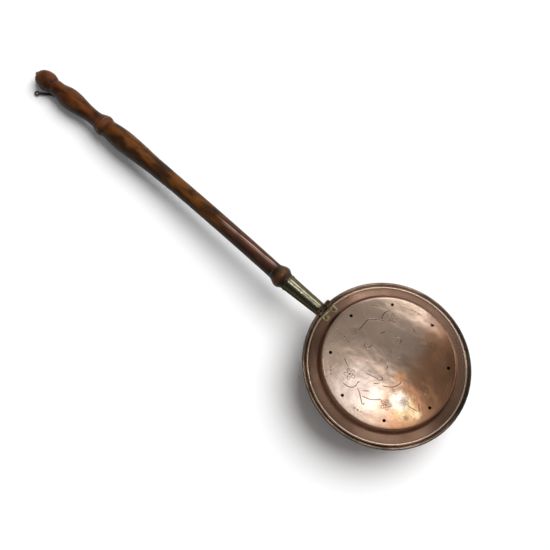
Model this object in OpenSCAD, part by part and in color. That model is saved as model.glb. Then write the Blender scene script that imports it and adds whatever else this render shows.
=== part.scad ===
// Bed warming pan: a copper pan with a hinged, pierced lid, a riveted brass socket
// and a long turned handle that ends in a finial with an iron hanging link.
//
// Origin: centre of the pan's flat base, on the floor. +Z is up and +X runs along the handle.
// Sizes are in millimetres and angles in degrees. Outlines of round pieces are drawn as
// [distance from the axis, height] and then turned.

/* [Pan] */
// Outside diameter of the pan over its rolled rim
rim_d = 315; // [262:1:380]
// Height of the rim above the floor
pan_h = 91; // [78:1:110]
// Thickness of the copper sheet of pan and lid
sheet = 0.9; // [0.7:0.1:1.2]
// How far the edge of the flat base lies inside the rim
base_inset = 52; // [44:1:62]
// Radius of the round corner between base and side
corner_r = 34; // [26:1:38]
// Slanted length of the flared lip that the lid rests on
flare_len = 10.4; // [9:0.1:12]
// Diameter of the iron wire in the pan's rolled rim
rim_wire_d = 3.9; // [3.4:0.1:4.4]

/* [Lid] */
// Outside diameter of the lid is smaller than the rim by this much
lid_inset = 15.8; // [15.4:0.1:16.4]
// Diameter of the iron wire in the lid's rolled edge
lid_wire_d = 3.3; // [2.8:0.1:3.6]
// Width of the sloping band inside the lid's edge
band_w = 16.6; // [14:0.1:20]
// Slope of the band
band_slope = 14; // [10:0.5:17]
// Width that the steep riser takes, seen from above
riser_run = 6.4; // [5:0.1:9]
// Height of the raised plate's edge above the pan's rim
plate_h = 16; // [13:0.5:20]
// Rise of the domed plate from its edge to its middle
dome_h = 7; // [4:0.5:12]
// Diameter of a vent hole
vent_d = 5.6; // [4:0.1:8]
// Distance of the vent holes from the edge of the plate
vent_inset = 14; // [8:0.5:24]

/* [Hinge] */
// Overall width of the hinge along its pin
hinge_w = 32; // [28:0.5:40]
// Width of the middle knuckle, which belongs to the pan
knuckle_w = 12; // [9:0.5:14]
// Outside diameter of the knuckles
knuckle_d = 6; // [5.4:0.1:7]
// Diameter of the hinge pin
pin_d = 3.1; // [2.4:0.1:3.4]
// Thickness of the brass leaf on the lid
leaf_t = 1.2; // [1:0.1:1.6]
// Distance of the leaf's rivets from the lid's edge
leaf_reach = 10.6; // [10:0.1:13]
// Radius of the leaf's two round lobes
lobe_r = 5.2; // [4.8:0.1:6]

/* [Socket] */
// Depth of the handle's axis below the rim, where it crosses the rim
socket_drop = 19; // [18.8:0.1:24]
// Length of the socket from the rim to its mouth
socket_len = 83; // [66:1:100]
// Outside diameter of the socket at the pan
socket_d1 = 25.2; // [22:0.1:25.4]
// Outside diameter of the socket at its mouth
socket_d2 = 31.8; // [29:0.1:34]
// Wall of the socket tube
tube_t = 1.3; // [1:0.1:1.8]
// Thickness of the flange plate on the pan's side
flange_t = 1.6; // [1.2:0.1:2.4]

/* [Handle] */
// Length of the turned wood from the socket's mouth to the tip
handle_len = 676; // [560:1:820]
// Largest diameter of the finial
finial_d = 40.8; // [36:0.2:44]
// Diameter of the shaft next to the socket
shaft_d = 31.6; // [28:0.2:34]
// Diameter of the bulb next to the socket
bulb_d = 43; // [38:0.2:48]

/* [Hanging link] */
// Length of the link between its two eyes
link_len = 35; // [30:0.5:40]
// Thickness of the link
link_t = 2; // [1.4:0.1:2.2]
// Diameter of the hole that the pan hangs by
hang_hole_d = 4.8; // [4:0.1:6]
// Angle between the link at rest and the handle
link_angle = 40; // [40:1:60]

/* [Hidden] */
$fn = 96;

// Clearances
fit = 0.05;        // between seated faces, and round a pin in its hole
burr_fit = 0.1;    // between a flat burr and the curved sheet
lid_seat = 0.3;    // between the lid's edge and the lip that it rests on
swing_gap = 0.3;   // between knuckles that turn against each other
floor_gap = 0.1;   // between the finial and the floor
drill = 5;         // how far a hole is cut to either side of its place

// Small pieces
rivet_d = 3.4;
rivet_head_d = 7;
rivet_head_h = 1.6;
rivet_tail_d = 5;
rivet_tail_h = 0.9;
burr_d = 7.6;
burr_t = 0.8;
nail_d = 2.4;
nail_len = 11;
nail_head_d = 5.2;
nail_head_h = 1.2;
pin_end_h = 1.2;

// Rolled rim of the pan: the wire, the sheet round it and its centre
rim_r = rim_d / 2;
rim_curl = rim_wire_d / 2 + fit;
rim_bead = rim_curl + sheet;
rim_c = [rim_r - rim_bead, pan_h - rim_bead];
curl_end = -145;

// The lip meets the rim's curl where both slope at lip_slope
lip_slope = 45;
lip_turn = 90 + lip_slope;
lip_top = rim_c + rim_curl * dir(lip_turn);
lip_foot = lip_top - flare_len * dir(lip_slope);

// The side is the tangent from the foot of the lip to the corner's arc
base_r = rim_r - base_inset;
corner_c = [base_r, corner_r];
side_angle = angle_of(lip_foot - corner_c) - acos(corner_r / norm(lip_foot - corner_c));
side_foot = corner_c + corner_r * dir(side_angle);

// Rolled edge of the lid, dropped onto the lip's inner face
lid_r = rim_r - lid_inset / 2;
lid_curl = lid_wire_d / 2 + fit;
lid_bead = lid_curl + sheet;
lip_face = rim_c + rim_bead * dir(lip_turn);
lid_cx = lid_r - lid_bead;
lid_cz = lip_face[1] + (lid_bead + lid_seat - (lid_cx - lip_face[0]) * cos(lip_turn)) / sin(lip_turn);
lid_c = [lid_cx, lid_cz];
band_turn = 145;
band_top = lid_c + lid_curl * dir(band_turn);
band_foot = band_top + band_w * [-1, tan(band_slope)];
plate_r = band_foot[0] - riser_run;
plate_z = pan_h + plate_h - sheet;
dome_r = (plate_r * plate_r + dome_h * dome_h) / (2 * dome_h);
vent_ring_r = plate_r - vent_inset;
// The eight vents as they were marked out by eye, measured from the handle
vent_angles = [-9.5, 34, 77.5, 124, 171.5, 216.5, 262, 306.5];

// Hinge: the leaf runs level over both rolled edges and is tangent to the knuckles
strap_z = max(pan_h + 0.4, lid_c[1] + lid_bead + 0.1);
knuckle_r = knuckle_d / 2;
hinge_out = 2.7;
hinge_c = [rim_c[0] + hinge_out, strap_z + knuckle_r];
lobe_x = lid_r - leaf_reach;
lobe_y = hinge_w / 2 - lobe_r + 0.4;
bore_r = pin_d / 2 + fit;

// The pan's part of the hinge is a hook that wraps the rolled rim from above
hook_t = 1.9;
hook_fit = 0.25;
hook_from = 62;
hook_neck = 35;
hook_to = -80;

// Socket and handle lie on one axis, which drops until the finial meets the floor
socket_z = pan_h - socket_drop;
finial_at = 30;
axis_len = socket_len + handle_len;
handle_drop = asin((socket_z - finial_d / 2 - floor_gap) / (axis_len - finial_at));
shoulder = 2;
spigot_len = 14;
tenon_start = 17;
joint_fit = 0.1;   // between the tube and what is pushed into it

// Turning of the handle, from the tip: [distance, radius, kind of curve up to there]
STRAIGHT = 0;
OGEE = 1;
SWELL = 2;
FALL = 3;
ROUND = 4;
shaft_r = shaft_d / 2;
neck_at = 54.5;
neck_r = 16;
turning = [
    [0, 3, STRAIGHT],
    [1.5, 4.2, SWELL],
    [4.6, 4, STRAIGHT],
    [finial_at, finial_d / 2, ROUND],
    [49.5, 14.4, FALL],
    [52.5, neck_r, OGEE],
    [59, neck_r, STRAIGHT],
    [92, 21.1, OGEE],
    [155, 14.9, OGEE],
    [162, 15.1, STRAIGHT],
    [187, 21.3, OGEE],
    [198.5, 18.3, OGEE],
    [240, 21.6, SWELL],
    [335, 17.4, OGEE],
    [385, 16.4, STRAIGHT],
    [handle_len - 35, shaft_r, STRAIGHT],
    [handle_len - 15.5, bulb_d / 2, OGEE],
    [handle_len - 0.1, socket_d2 / 2 - 0.2, OGEE]
];

// Hanging link and its pin, under the neck of the handle
neck_x = rim_r + (axis_len - neck_at) * cos(handle_drop);
neck_z = socket_z - (axis_len - neck_at) * sin(handle_drop);
hanger_y = 5;
washer_d = 8;
washer_top = neck_z - neck_r - 0.2;
washer_t = 0.8;
link_top = washer_top - washer_t - fit;
hanger_head_d = 8.4;
hanger_head_h = 1.3;
hanger_head_top = link_top - link_t - fit;
hanger_pin_d = 4;
hanger_pin_top = neck_z - 4;
link_w = 6;
link_eye_r = 5.5;

// ---- Helpers for outlines ----

function dir(a) = [cos(a), sin(a)];
function angle_of(v) = atan2(v[1], v[0]);
function unit(v) = v / norm(v);
function left(v) = [-v[1], v[0]];
function cross2(a, b) = a[0] * b[1] - a[1] * b[0];

// Points on an arc
function arc(c, r, from, to, n) = [for (i = [0:n]) c + r * dir(from + (to - from) * i / n)];

// A corner at b, rounded to radius r
function rounded(a, b, c, r, n = 5) =
    let (d1 = unit(b - a), d2 = unit(c - b))
    let (turn = atan2(cross2(d1, d2), d1 * d2), side = turn > 0 ? 1 : -1)
    let (start = b - d1 * r * tan(abs(turn) / 2), mid = start + side * r * left(d1))
    arc(mid, r, angle_of(start - mid), angle_of(start - mid) + turn, n);

// The path moved sideways by t, to the left of its direction
function miter(p, i) =
    i == 0 ? left(unit(p[1] - p[0])) :
    i == len(p) - 1 ? left(unit(p[i] - p[i - 1])) :
    let (n1 = left(unit(p[i] - p[i - 1])), n2 = left(unit(p[i + 1] - p[i])), m = unit(n1 + n2))
    m / (m * n1);
function beside(p, t) = [for (i = [0:len(p) - 1]) p[i] + t * miter(p, i)];
function reversed(p) = [for (i = [len(p) - 1:-1:0]) p[i]];

// A sheet of thickness t that follows a path
module strip(p, t) {
    polygon(concat(p, reversed(beside(p, t))));
}

// ---- Paths of the two copper sheets ----

// Outside of the pan, from the middle of the base to the top of the lip
pan_path = concat(
    [[0, 0]],
    arc(corner_c, corner_r, -90, side_angle, 12),
    rounded(side_foot, lip_foot, lip_top, 6),
    [lip_top]);
// The same, rolled on round the wire
curl_steps = 18;
pan_curl = arc(rim_c, rim_curl, lip_turn, curl_end, curl_steps);

// Underside of the lid, from the middle of the dome to the wire
dome_flat = 6;
dome_edge_angle = asin(plate_r / dome_r);
dome_start_angle = asin(dome_flat / dome_r);
dome_c = [0, plate_z + dome_h - dome_r];
dome_path = arc(dome_c, dome_r, 90 - dome_start_angle, 90 - dome_edge_angle, 14);
plate_edge = dome_path[14];
lid_path = concat(
    [[0, dome_path[0][1]]],
    [for (i = [0:13]) dome_path[i]],
    rounded(dome_path[13], plate_edge, band_foot, 2),
    rounded(plate_edge, band_foot, band_top, 3),
    arc(lid_c, lid_curl, band_turn, curl_end, curl_steps));

// Height of the band's upper face at distance r from the axis
function band_z(r) = band_top[1] + (band_top[0] - r) * tan(band_slope) + sheet / cos(band_slope);

// Outer radius of the socket's tube at a distance along the handle's axis
function tube_r(x) = (socket_d1 + (socket_d2 - socket_d1) * (x - shoulder) / (socket_len - shoulder)) / 2;
function tube_bore(x) = tube_r(x) - tube_t;
tube_slope = atan((socket_d2 - socket_d1) / 2 / (socket_len - shoulder));

// ---- Small shared shapes ----

// Places things on the handle's axis: local +Z runs from the rim towards the tip
module on_axis() {
    translate([rim_r, 0, socket_z])
        rotate([0, 90 + handle_drop, 0])
            children();
}

// A round button head, flat side down
module dome_head(d, h) {
    ball_r = (d * d / 4 + h * h) / (2 * h);
    half = asin(d / 2 / ball_r);
    rotate_extrude()
        polygon(concat([[0, 0]], arc([0, h - ball_r], ball_r, 90 - half, 90, 6)));
}

// A rivet: head above z = 0, shank through the grip, hammered tail below
module rivet(grip) {
    dome_head(rivet_head_d, rivet_head_h);
    translate([0, 0, -grip])
        cylinder(d = rivet_d, h = grip + 0.2);
    translate([0, 0, -grip - rivet_tail_h])
        cylinder(d = rivet_tail_d, h = rivet_tail_h);
}

// A hole for a rivet, a nail or a pin of diameter d
module hole(d) {
    translate([0, 0, -drill])
        cylinder(d = d + 2 * fit, h = 2 * drill);
}

// The washer that a rivet's tail is hammered down on
module burr() {
    difference() {
        cylinder(d = burr_d, h = burr_t);
        hole(rivet_d);
    }
}

// Everything that the pan's outer face bounds, grown by a gap
module pan_outside(gap) {
    face = beside(pan_path, -gap);
    rotate_extrude()
        polygon(concat([[0, -gap]], [for (i = [1:len(face) - 1]) face[i]], [[0, face[len(face) - 1][1]]]));
}

// ---- Where the rivets sit ----

// The flange plate: a disc below the socket and an ear to either side
ear_at = 25;
ear_r = 8;
disc_r = 20;
disc_drop = 4;
flange_half_angle = 20;
plate_inset = 1;
boss_back = 16;

// The flange's four rivets: [sideways, height above the socket's axis]
flange_rivet_places = [[-ear_at, 1.5], [ear_at, 1.5], [-8.5, -18], [8.5, -18]];
flange_grip_out = fit + flange_t + fit;
flange_grip_in = sheet + burr_fit + burr_t + fit;

// Radius of the pan's outer face at a height on its straight side
function side_r(z) = side_foot[0] + (z - side_foot[1]) * (lip_foot[0] - side_foot[0]) / (lip_foot[1] - side_foot[1]);

module at_flange_rivets() {
    for (p = flange_rivet_places) {
        z = socket_z + p[1];
        rotate([0, 0, asin(p[0] / side_r(z))])
            translate([side_r(z), 0, z])
                rotate([0, 90 - side_angle, 0])
                    children();
    }
}

leaf_grip_out = fit + leaf_t + fit;
leaf_grip_in = sheet + burr_fit + burr_t + fit;

module at_leaf_rivets() {
    for (side = [-1, 1])
        rotate([0, 0, side * asin(lobe_y / lobe_x)])
            translate([lobe_x, 0, band_z(lobe_x)])
                rotate([0, band_slope, 0])
                    children();
}

// The two nails go in from below, either side of the lowest line of the socket
nail_at = socket_len - 13;
nail_spread = 50;

module at_socket_nails() {
    on_axis()
        for (side = [-1, 1])
            rotate([0, 0, side * nail_spread])
                translate([tube_r(nail_at), 0, nail_at])
                    rotate([0, 90 + tube_slope, 0])
                        children();
}

// ---- Pan ----

module pan_bowl() {
    color([0.66, 0.40, 0.29])
    difference() {
        rotate_extrude()
            strip(concat(pan_path, [for (i = [1:curl_steps]) pan_curl[i]]), sheet);
        at_flange_rivets()
            hole(rivet_d);
    }
}

module pan_rim_wire() {
    color([0.25, 0.24, 0.23])
    rotate_extrude()
        translate(rim_c)
            circle(d = rim_wire_d);
}

// ---- Socket ----

// Outline of the flange plate, seen from the handle
module flange_outline() {
    square([2 * ear_at, 2 * ear_r], center = true);
    for (side = [-1, 1])
        translate([side * ear_at, 0])
            circle(r = ear_r);
    translate([0, -disc_drop])
        circle(r = disc_r);
}

// The middle knuckle, its hook round the rolled rim, and the boss that carries it
module hinge_lug() {
    rotate([90, 0, 0])
        translate([0, 0, -knuckle_w / 2])
            linear_extrude(height = knuckle_w) {
                strip(arc(rim_c, rim_bead + hook_fit, hook_from, hook_to, 14), hook_t);
                polygon([
                    rim_c + (rim_bead + hook_fit) * dir(hook_from),
                    rim_c + (rim_bead + hook_fit + hook_t) * dir(hook_neck),
                    hinge_c + knuckle_r * dir(0),
                    hinge_c + knuckle_r / 2 * dir(180)
                ]);
                translate(hinge_c)
                    circle(r = knuckle_r);
            }
}

module socket_flange() {
    color([0.58, 0.50, 0.27])
    difference() {
        union() {
            // plate on the pan's side
            intersection() {
                rotate([0, 0, -flange_half_angle])
                    rotate_extrude(angle = 2 * flange_half_angle)
                        strip(beside([side_foot, lip_foot], plate_inset), -plate_inset - fit - flange_t);
                translate([0, 0, socket_z])
                    rotate([90, 0, 90])
                        linear_extrude(height = rim_d)
                            flange_outline();
            }
            // boss, and the spigot inside the tube
            on_axis()
                translate([0, 0, -boss_back])
                    cylinder(d = socket_d1, h = boss_back + shoulder - fit);
            on_axis()
                cylinder(r1 = tube_bore(0) - joint_fit, r2 = tube_bore(spigot_len) - joint_fit, h = spigot_len);
            hinge_lug();
        }
        pan_outside(fit);
        translate([hinge_c[0], 0, hinge_c[1]])
            rotate([90, 0, 0])
                cylinder(r = bore_r, h = knuckle_w + 2, center = true);
        at_flange_rivets()
            hole(rivet_d);
    }
}

module flange_rivets() {
    color([0.70, 0.43, 0.30])
    at_flange_rivets()
        translate([0, 0, flange_grip_out])
            rivet(flange_grip_out + flange_grip_in);
}

module flange_rivet_burrs() {
    color([0.62, 0.38, 0.27])
    at_flange_rivets()
        translate([0, 0, -sheet - burr_fit - burr_t])
            burr();
}

module socket_tube() {
    color([0.52, 0.48, 0.27])
    difference() {
        on_axis()
            translate([0, 0, shoulder])
                cylinder(r1 = tube_r(shoulder), r2 = tube_r(socket_len), h = socket_len - shoulder);
        on_axis()
            cylinder(r1 = tube_bore(0), r2 = tube_bore(socket_len + 2), h = socket_len + 2);
        at_socket_nails()
            hole(nail_d);
    }
}

// The ring sweated on at the socket's mouth
ring_len = 3.6;
ring_t = 1.1;

module socket_ring() {
    color([0.60, 0.52, 0.28])
    difference() {
        on_axis()
            translate([0, 0, socket_len - ring_len])
                rotate_extrude()
                    polygon(concat(
                        [[tube_r(socket_len) - 2, ring_len], [tube_r(socket_len) - 2, 0]],
                        arc([tube_r(socket_len), ring_len / 2], ring_t, -90, 90, 8),
                        [[tube_r(socket_len), ring_len]]));
        on_axis()
            translate([0, 0, shoulder])
                cylinder(r1 = tube_r(shoulder) + fit, r2 = tube_r(socket_len + 2) + fit, h = socket_len + 2 - shoulder);
    }
}

module socket_nails() {
    color([0.35, 0.33, 0.30])
    at_socket_nails() {
        translate([0, 0, 0.12])
            dome_head(nail_head_d, nail_head_h);
        translate([0, 0, -nail_len])
            cylinder(d = nail_d, h = nail_len + 0.4);
    }
}

// ---- Handle ----

// How far a curve has gone, at a share u of its length
function eased(kind, u) =
    kind == OGEE ? (1 - cos(180 * u)) / 2 :
    kind == SWELL ? sin(90 * u) :
    kind == FALL ? 1 - cos(90 * u) :
    kind == ROUND ? sqrt(1 - (1 - u) * (1 - u)) :
    u;

function curve_steps(kind) = kind == STRAIGHT ? 1 : 9;

// The turning's outline as [radius, distance from the socket's end of the axis]
turned_points = concat(
    [[turning[0][1], axis_len]],
    [for (i = [1:len(turning) - 1])
        let (a = turning[i - 1], b = turning[i], n = curve_steps(b[2]))
        for (j = [1:n])
            let (u = j / n)
            [a[1] + (b[1] - a[1]) * eased(b[2], u), axis_len - a[0] - (b[0] - a[0]) * u]]);
tenon_r1 = tube_bore(tenon_start) - joint_fit;
tenon_r2 = tube_bore(socket_len) - joint_fit;

module turned_handle() {
    color([0.36, 0.19, 0.10])
    difference() {
        on_axis()
            rotate_extrude()
                polygon(concat(
                    [[0, tenon_start], [0, axis_len]],
                    turned_points,
                    [[tenon_r2, socket_len + 0.1], [tenon_r1, tenon_start]]));
        at_socket_nails()
            translate([0, 0, -nail_len - fit])
                cylinder(d = nail_d + 2 * fit, h = nail_len + 4);
        translate([neck_x, hanger_y, 0])
            cylinder(d = hanger_pin_d + 2 * fit, h = hanger_pin_top + fit);
    }
}

// ---- Lid ----

module lid_shell() {
    color([0.74, 0.52, 0.42])
    difference() {
        rotate_extrude()
            strip(lid_path, sheet);
        for (a = vent_angles)
            rotate([0, 0, a])
                translate([vent_ring_r, 0, pan_h])
                    cylinder(d = vent_d, h = plate_h + dome_h + 5);
        at_leaf_rivets()
            hole(rivet_d);
    }
}

module lid_edge_wire() {
    color([0.25, 0.24, 0.23])
    rotate_extrude()
        translate(lid_c)
            circle(d = lid_wire_d);
}

// Underside of the leaf: on the band, up over the lid's edge, level to the knuckles
leaf_inner = lobe_x - lobe_r - 1;
leaf_bend = band_top[0] - 2.4;
leaf_rise = 2;
leaf_half_angle = 9;
leaf_path = [
    [leaf_inner, band_z(leaf_inner) + fit],
    [leaf_bend, band_z(leaf_bend) + fit],
    [leaf_bend + leaf_rise, strap_z],
    [hinge_c[0] - 1, strap_z]
];

// Plan of the leaf: two lobes on a bar, notched for the pan's middle knuckle
module leaf_outline() {
    notch_x = lid_r;
    for (side = [-1, 1])
        translate([lobe_x * cos(asin(lobe_y / lobe_x)), side * lobe_y]) {
            circle(r = lobe_r);
            translate([0, -lobe_r])
                square([lid_r - lobe_x, 2 * lobe_r]);
        }
    translate([leaf_bend - 1, -hinge_w / 2])
        square([notch_x - leaf_bend + 1, hinge_w]);
    for (side = [-1, 1])
        translate([notch_x - 1, side > 0 ? knuckle_w / 2 + swing_gap : -hinge_w / 2])
            square([hinge_c[0] - notch_x + 1, hinge_w / 2 - knuckle_w / 2 - swing_gap]);
}

module lid_hinge_leaf() {
    outer_w = hinge_w / 2 - knuckle_w / 2 - swing_gap;
    color([0.62, 0.54, 0.28])
    difference() {
        union() {
            intersection() {
                rotate([0, 0, -leaf_half_angle])
                    rotate_extrude(angle = 2 * leaf_half_angle)
                        strip(leaf_path, leaf_t);
                translate([0, 0, pan_h - 10])
                    linear_extrude(height = 30)
                        leaf_outline();
            }
            for (side = [-1, 1])
                translate([hinge_c[0], side * (hinge_w / 2 - outer_w / 2), hinge_c[1]])
                    rotate([90, 0, 0])
                        cylinder(r = knuckle_r, h = outer_w, center = true);
        }
        translate([hinge_c[0], 0, hinge_c[1]])
            rotate([90, 0, 0])
                cylinder(r = bore_r, h = hinge_w + 2, center = true);
        at_leaf_rivets()
            hole(rivet_d);
    }
}

module leaf_rivets() {
    color([0.64, 0.55, 0.28])
    at_leaf_rivets()
        translate([0, 0, leaf_grip_out])
            rivet(leaf_grip_out + leaf_grip_in);
}

module leaf_rivet_burrs() {
    color([0.62, 0.38, 0.27])
    at_leaf_rivets()
        translate([0, 0, -sheet - burr_fit - burr_t])
            burr();
}

module hinge_pin() {
    end_d = knuckle_d - 1.4;
    color([0.34, 0.31, 0.27])
    translate([hinge_c[0], 0, hinge_c[1]])
        rotate([90, 0, 0]) {
            cylinder(d = pin_d, h = hinge_w + 2 * swing_gap, center = true);
            for (flip = [0, 180])
                rotate([flip, 0, 0])
                    translate([0, 0, hinge_w / 2 + swing_gap / 2])
                        dome_head(end_d, pin_end_h);
        }
}

// ---- Hanging link ----

module hanging_link() {
    color([0.22, 0.21, 0.20])
    translate([neck_x, hanger_y, link_top - link_t])
        rotate([0, 0, link_angle])
            difference() {
                linear_extrude(height = link_t) {
                    circle(r = link_eye_r);
                    translate([0, -link_w / 2])
                        square([link_len, link_w]);
                    translate([link_len, 0])
                        circle(r = link_eye_r);
                }
                hole(hanger_pin_d);
                translate([link_len, 0, -drill])
                    cylinder(d = hang_hole_d, h = 2 * drill);
            }
}

module hanger_pin() {
    color([0.26, 0.25, 0.23])
    translate([neck_x, hanger_y, 0]) {
        translate([0, 0, hanger_head_top - hanger_head_h])
            cylinder(d = hanger_head_d, h = hanger_head_h);
        translate([0, 0, hanger_head_top - fit])
            cylinder(d = hanger_pin_d, h = hanger_pin_top - hanger_head_top + fit);
    }
}

module hanger_washer() {
    color([0.30, 0.28, 0.26])
    translate([neck_x, hanger_y, washer_top - washer_t])
        difference() {
            cylinder(d = washer_d, h = washer_t);
            hole(hanger_pin_d);
        }
}

pan_bowl();
pan_rim_wire();
socket_flange();
flange_rivets();
flange_rivet_burrs();
socket_tube();
socket_ring();
socket_nails();
turned_handle();
lid_shell();
lid_edge_wire();
lid_hinge_leaf();
leaf_rivets();
leaf_rivet_burrs();
hinge_pin();
hanging_link();
hanger_pin();
hanger_washer();
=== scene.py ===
# %% [markdown]
# # A copper bed warming pan
#
# The real object is a shallow copper pan that held embers, a pierced and chased copper lid on a
# brass hinge, a brass socket riveted to the pan's side, and a long turned handle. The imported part
# already has every piece at its real size and place, so this lesson gives the pieces their looks:
# smooth turned surfaces, hammered dents, chased flowers, tarnish, wear and wood grain.
#
# All sizes are in metres, in the part's own frame: the origin is the centre of the pan's flat
# base on the floor, +Z is up and +X runs along the handle.

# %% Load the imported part
import math
from functools import partial

import bmesh
import bpy
from mathutils import Matrix, Vector


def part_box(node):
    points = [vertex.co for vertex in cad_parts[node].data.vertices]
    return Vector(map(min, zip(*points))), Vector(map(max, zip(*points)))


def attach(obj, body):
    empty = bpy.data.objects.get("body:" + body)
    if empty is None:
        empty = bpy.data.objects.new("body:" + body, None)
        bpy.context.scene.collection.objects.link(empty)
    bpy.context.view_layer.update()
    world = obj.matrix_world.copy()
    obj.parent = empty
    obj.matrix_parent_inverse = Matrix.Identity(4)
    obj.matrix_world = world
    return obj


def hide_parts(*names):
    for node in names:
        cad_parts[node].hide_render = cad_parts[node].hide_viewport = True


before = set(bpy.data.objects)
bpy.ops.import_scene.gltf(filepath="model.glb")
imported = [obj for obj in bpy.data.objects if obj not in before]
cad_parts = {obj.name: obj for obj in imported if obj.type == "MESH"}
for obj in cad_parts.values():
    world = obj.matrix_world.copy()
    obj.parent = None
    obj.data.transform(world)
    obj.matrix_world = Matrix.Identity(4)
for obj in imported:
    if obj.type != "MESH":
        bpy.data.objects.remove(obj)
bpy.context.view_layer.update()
scene = bpy.context.scene
MM = 0.001

# %% [markdown]
# ## Helpers for node trees
#
# Everything that repeats on this object, and every surface finish, is a node tree. Building trees
# in code is wordy, so small helpers come first. One starts a tree with named inputs, one adds a
# node and wires it in the same line, and the others do arithmetic, make noise and mix colours.
# They all work on the tree that was started last.

# %% Trees and nodes
# An input's sort follows from the kind of its first value.
SORTS = {float: "Float", int: "Int", bool: "Bool", tuple: "Vector"}
# The tree that the helpers work on.
tree = None


def new_tree(name, kind, inputs, outputs):
    """Starts a node group. inputs gives each one's first value, or else its sort's name."""
    global tree
    tree = bpy.data.node_groups.new(name, kind + "NodeTree")
    for label, value in inputs.items():
        sort = "NodeSocket" + SORTS.get(type(value), value)
        socket = tree.interface.new_socket(label, in_out="INPUT", socket_type=sort)
        if type(value) in SORTS:
            socket.default_value = value
    sort = "NodeSocketGeometry" if kind == "Geometry" else "NodeSocketFloat"
    for label in outputs:
        tree.interface.new_socket(label, in_out="OUTPUT", socket_type=sort)
    return tree, tree.nodes.new("NodeGroupInput").outputs


def add(kind, values=None, **settings):
    """Adds a node and returns its outputs. values gives its inputs: plain values or outputs."""
    node = tree.nodes.new(kind)
    for name, value in settings.items():
        setattr(node, name, value)
    for key, value in (values or {}).items():
        if isinstance(value, bpy.types.NodeSocket):
            tree.links.new(value, node.inputs[key])
        else:
            node.inputs[key].default_value = value
    return node.outputs


def finish_tree(**results):
    """Wires the results to the group's outputs."""
    add("NodeGroupOutput", results)
    print("%s: %d nodes" % (tree.name, len(tree.nodes)))


# %% Arithmetic, noise and colours


def calc(operation, *values):
    """One step of arithmetic. Returns its result."""
    return add("ShaderNodeMath", dict(enumerate(values)), operation=operation)[0]


# The usual steps have short names. scaled(value, factor, more) is value * factor + more.
plus, minus, times, over, scaled = (
    partial(calc, name) for name in ("ADD", "SUBTRACT", "MULTIPLY", "DIVIDE", "MULTIPLY_ADD")
)


def vector_calc(operation, *values):
    """One step of vector arithmetic. Returns a vector, or a number where it gives one."""
    results = add("ShaderNodeVectorMath", dict(enumerate(values)), operation=operation)
    return results["Value" if operation in ("DOT_PRODUCT", "DISTANCE") else "Vector"]


def split(vector):
    """The X, Y and Z of a vector."""
    return add("ShaderNodeSeparateXYZ", {0: vector})


def joined(x=0.0, y=0.0, z=0.0):
    """A vector from its X, Y and Z."""
    return add("ShaderNodeCombineXYZ", {0: x, 1: y, 2: z})[0]


def spot_on():
    """The place of a spot on a piece, in the part's frame."""
    return add("ShaderNodeTexCoord")["Object"]


def mapped(vector, kind="POINT", **values):
    """A vector that is moved, turned or stretched."""
    return add("ShaderNodeMapping", {"Vector": vector, **values}, vector_type=kind)[0]


def noise(place, scale, **values):
    """Cloudy noise between 0 and 1."""
    return add("ShaderNodeTexNoise", {"Vector": place, "Scale": scale, **values})["Fac"]


def fade(value, low, high, start=0.0, stop=1.0):
    """Goes smoothly from start to stop while value goes from low to high."""
    values = dict(enumerate((value, low, high, start, stop)))
    return add("ShaderNodeMapRange", values, interpolation_type="SMOOTHSTEP")["Result"]


def blend(share, first, second):
    """Mixes two colours. share 0 is the first, and 1 the second."""
    pair = [c if isinstance(c, bpy.types.NodeSocket) else (*c, 1) for c in (first, second)]
    return add("ShaderNodeMix", {0: share, 6: pair[0], 7: pair[1]}, data_type="RGBA")[2]


def layer(below, above, mask, strength):
    """Lays a colour over another where the mask is, no stronger than strength."""
    return blend(times(mask, strength), below, above)


# %% Finishes and objects


def shader_input(label):
    """An input of the material's shader."""
    return tree.nodes["Principled BSDF"].inputs[label.replace("_", " ")]


def new_finish(name, **plain):
    """Starts a material. plain gives the values that are the same all over."""
    global tree
    material = bpy.data.materials.new(name)
    material.use_nodes = True
    tree = material.node_tree
    for label, value in plain.items():
        shader_input(label).default_value = value
    return material


def feed(**sockets):
    """Wires results to the shader's inputs."""
    for label, socket in sockets.items():
        tree.links.new(socket, shader_input(label))


def shown(name, data):
    """A new object in the scene."""
    obj = bpy.data.objects.new(name, data)
    scene.collection.objects.link(obj)
    return obj


def mesh_object(name, vertices, edges=(), faces=(), **numbers):
    """A new mesh object. numbers gives named values for its points."""
    mesh = bpy.data.meshes.new(name)
    mesh.from_pydata(vertices, edges, faces)
    for label, values in numbers.items():
        mesh.attributes.new(label, "FLOAT", "POINT").data.foreach_set("value", values)
    return shown(name, mesh)


def aimed(obj, place, target, roll=0.0):
    """Puts a camera or lamp at a place, pointing at the target and rolled by some degrees."""
    place = Vector(place)
    turn = (Vector(target) - place).to_track_quat("-Z", "Y").to_matrix().to_4x4()
    spin = Matrix.Rotation(math.radians(roll), 4, "Z")
    obj.matrix_world = Matrix.Translation(place) @ turn @ spin


# %% [markdown]
# ## Camera
#
# The pan is looked at from a standing person's height, beside the pan and nearly straight down,
# with the handle running away to the upper left. The place and the roll of the camera were worked
# out from the ellipses that the rim, the lid and the plate make.

# %% Camera
camera_at = Vector((0.0, 0.585, 1.813))
looks_at = Vector((0.2684, 0.0035, 0.060))
camera_roll = 17.74
camera = shown("camera", bpy.data.cameras.new("camera"))
camera.data.lens = 64.54
camera.data.sensor_width = 36.0
aimed(camera, camera_at, looks_at, camera_roll)
scene.camera = camera
scene.view_settings.view_transform = "Standard"
print("camera to the middle of the view: %.2f m" % (looks_at - camera_at).length)

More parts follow.
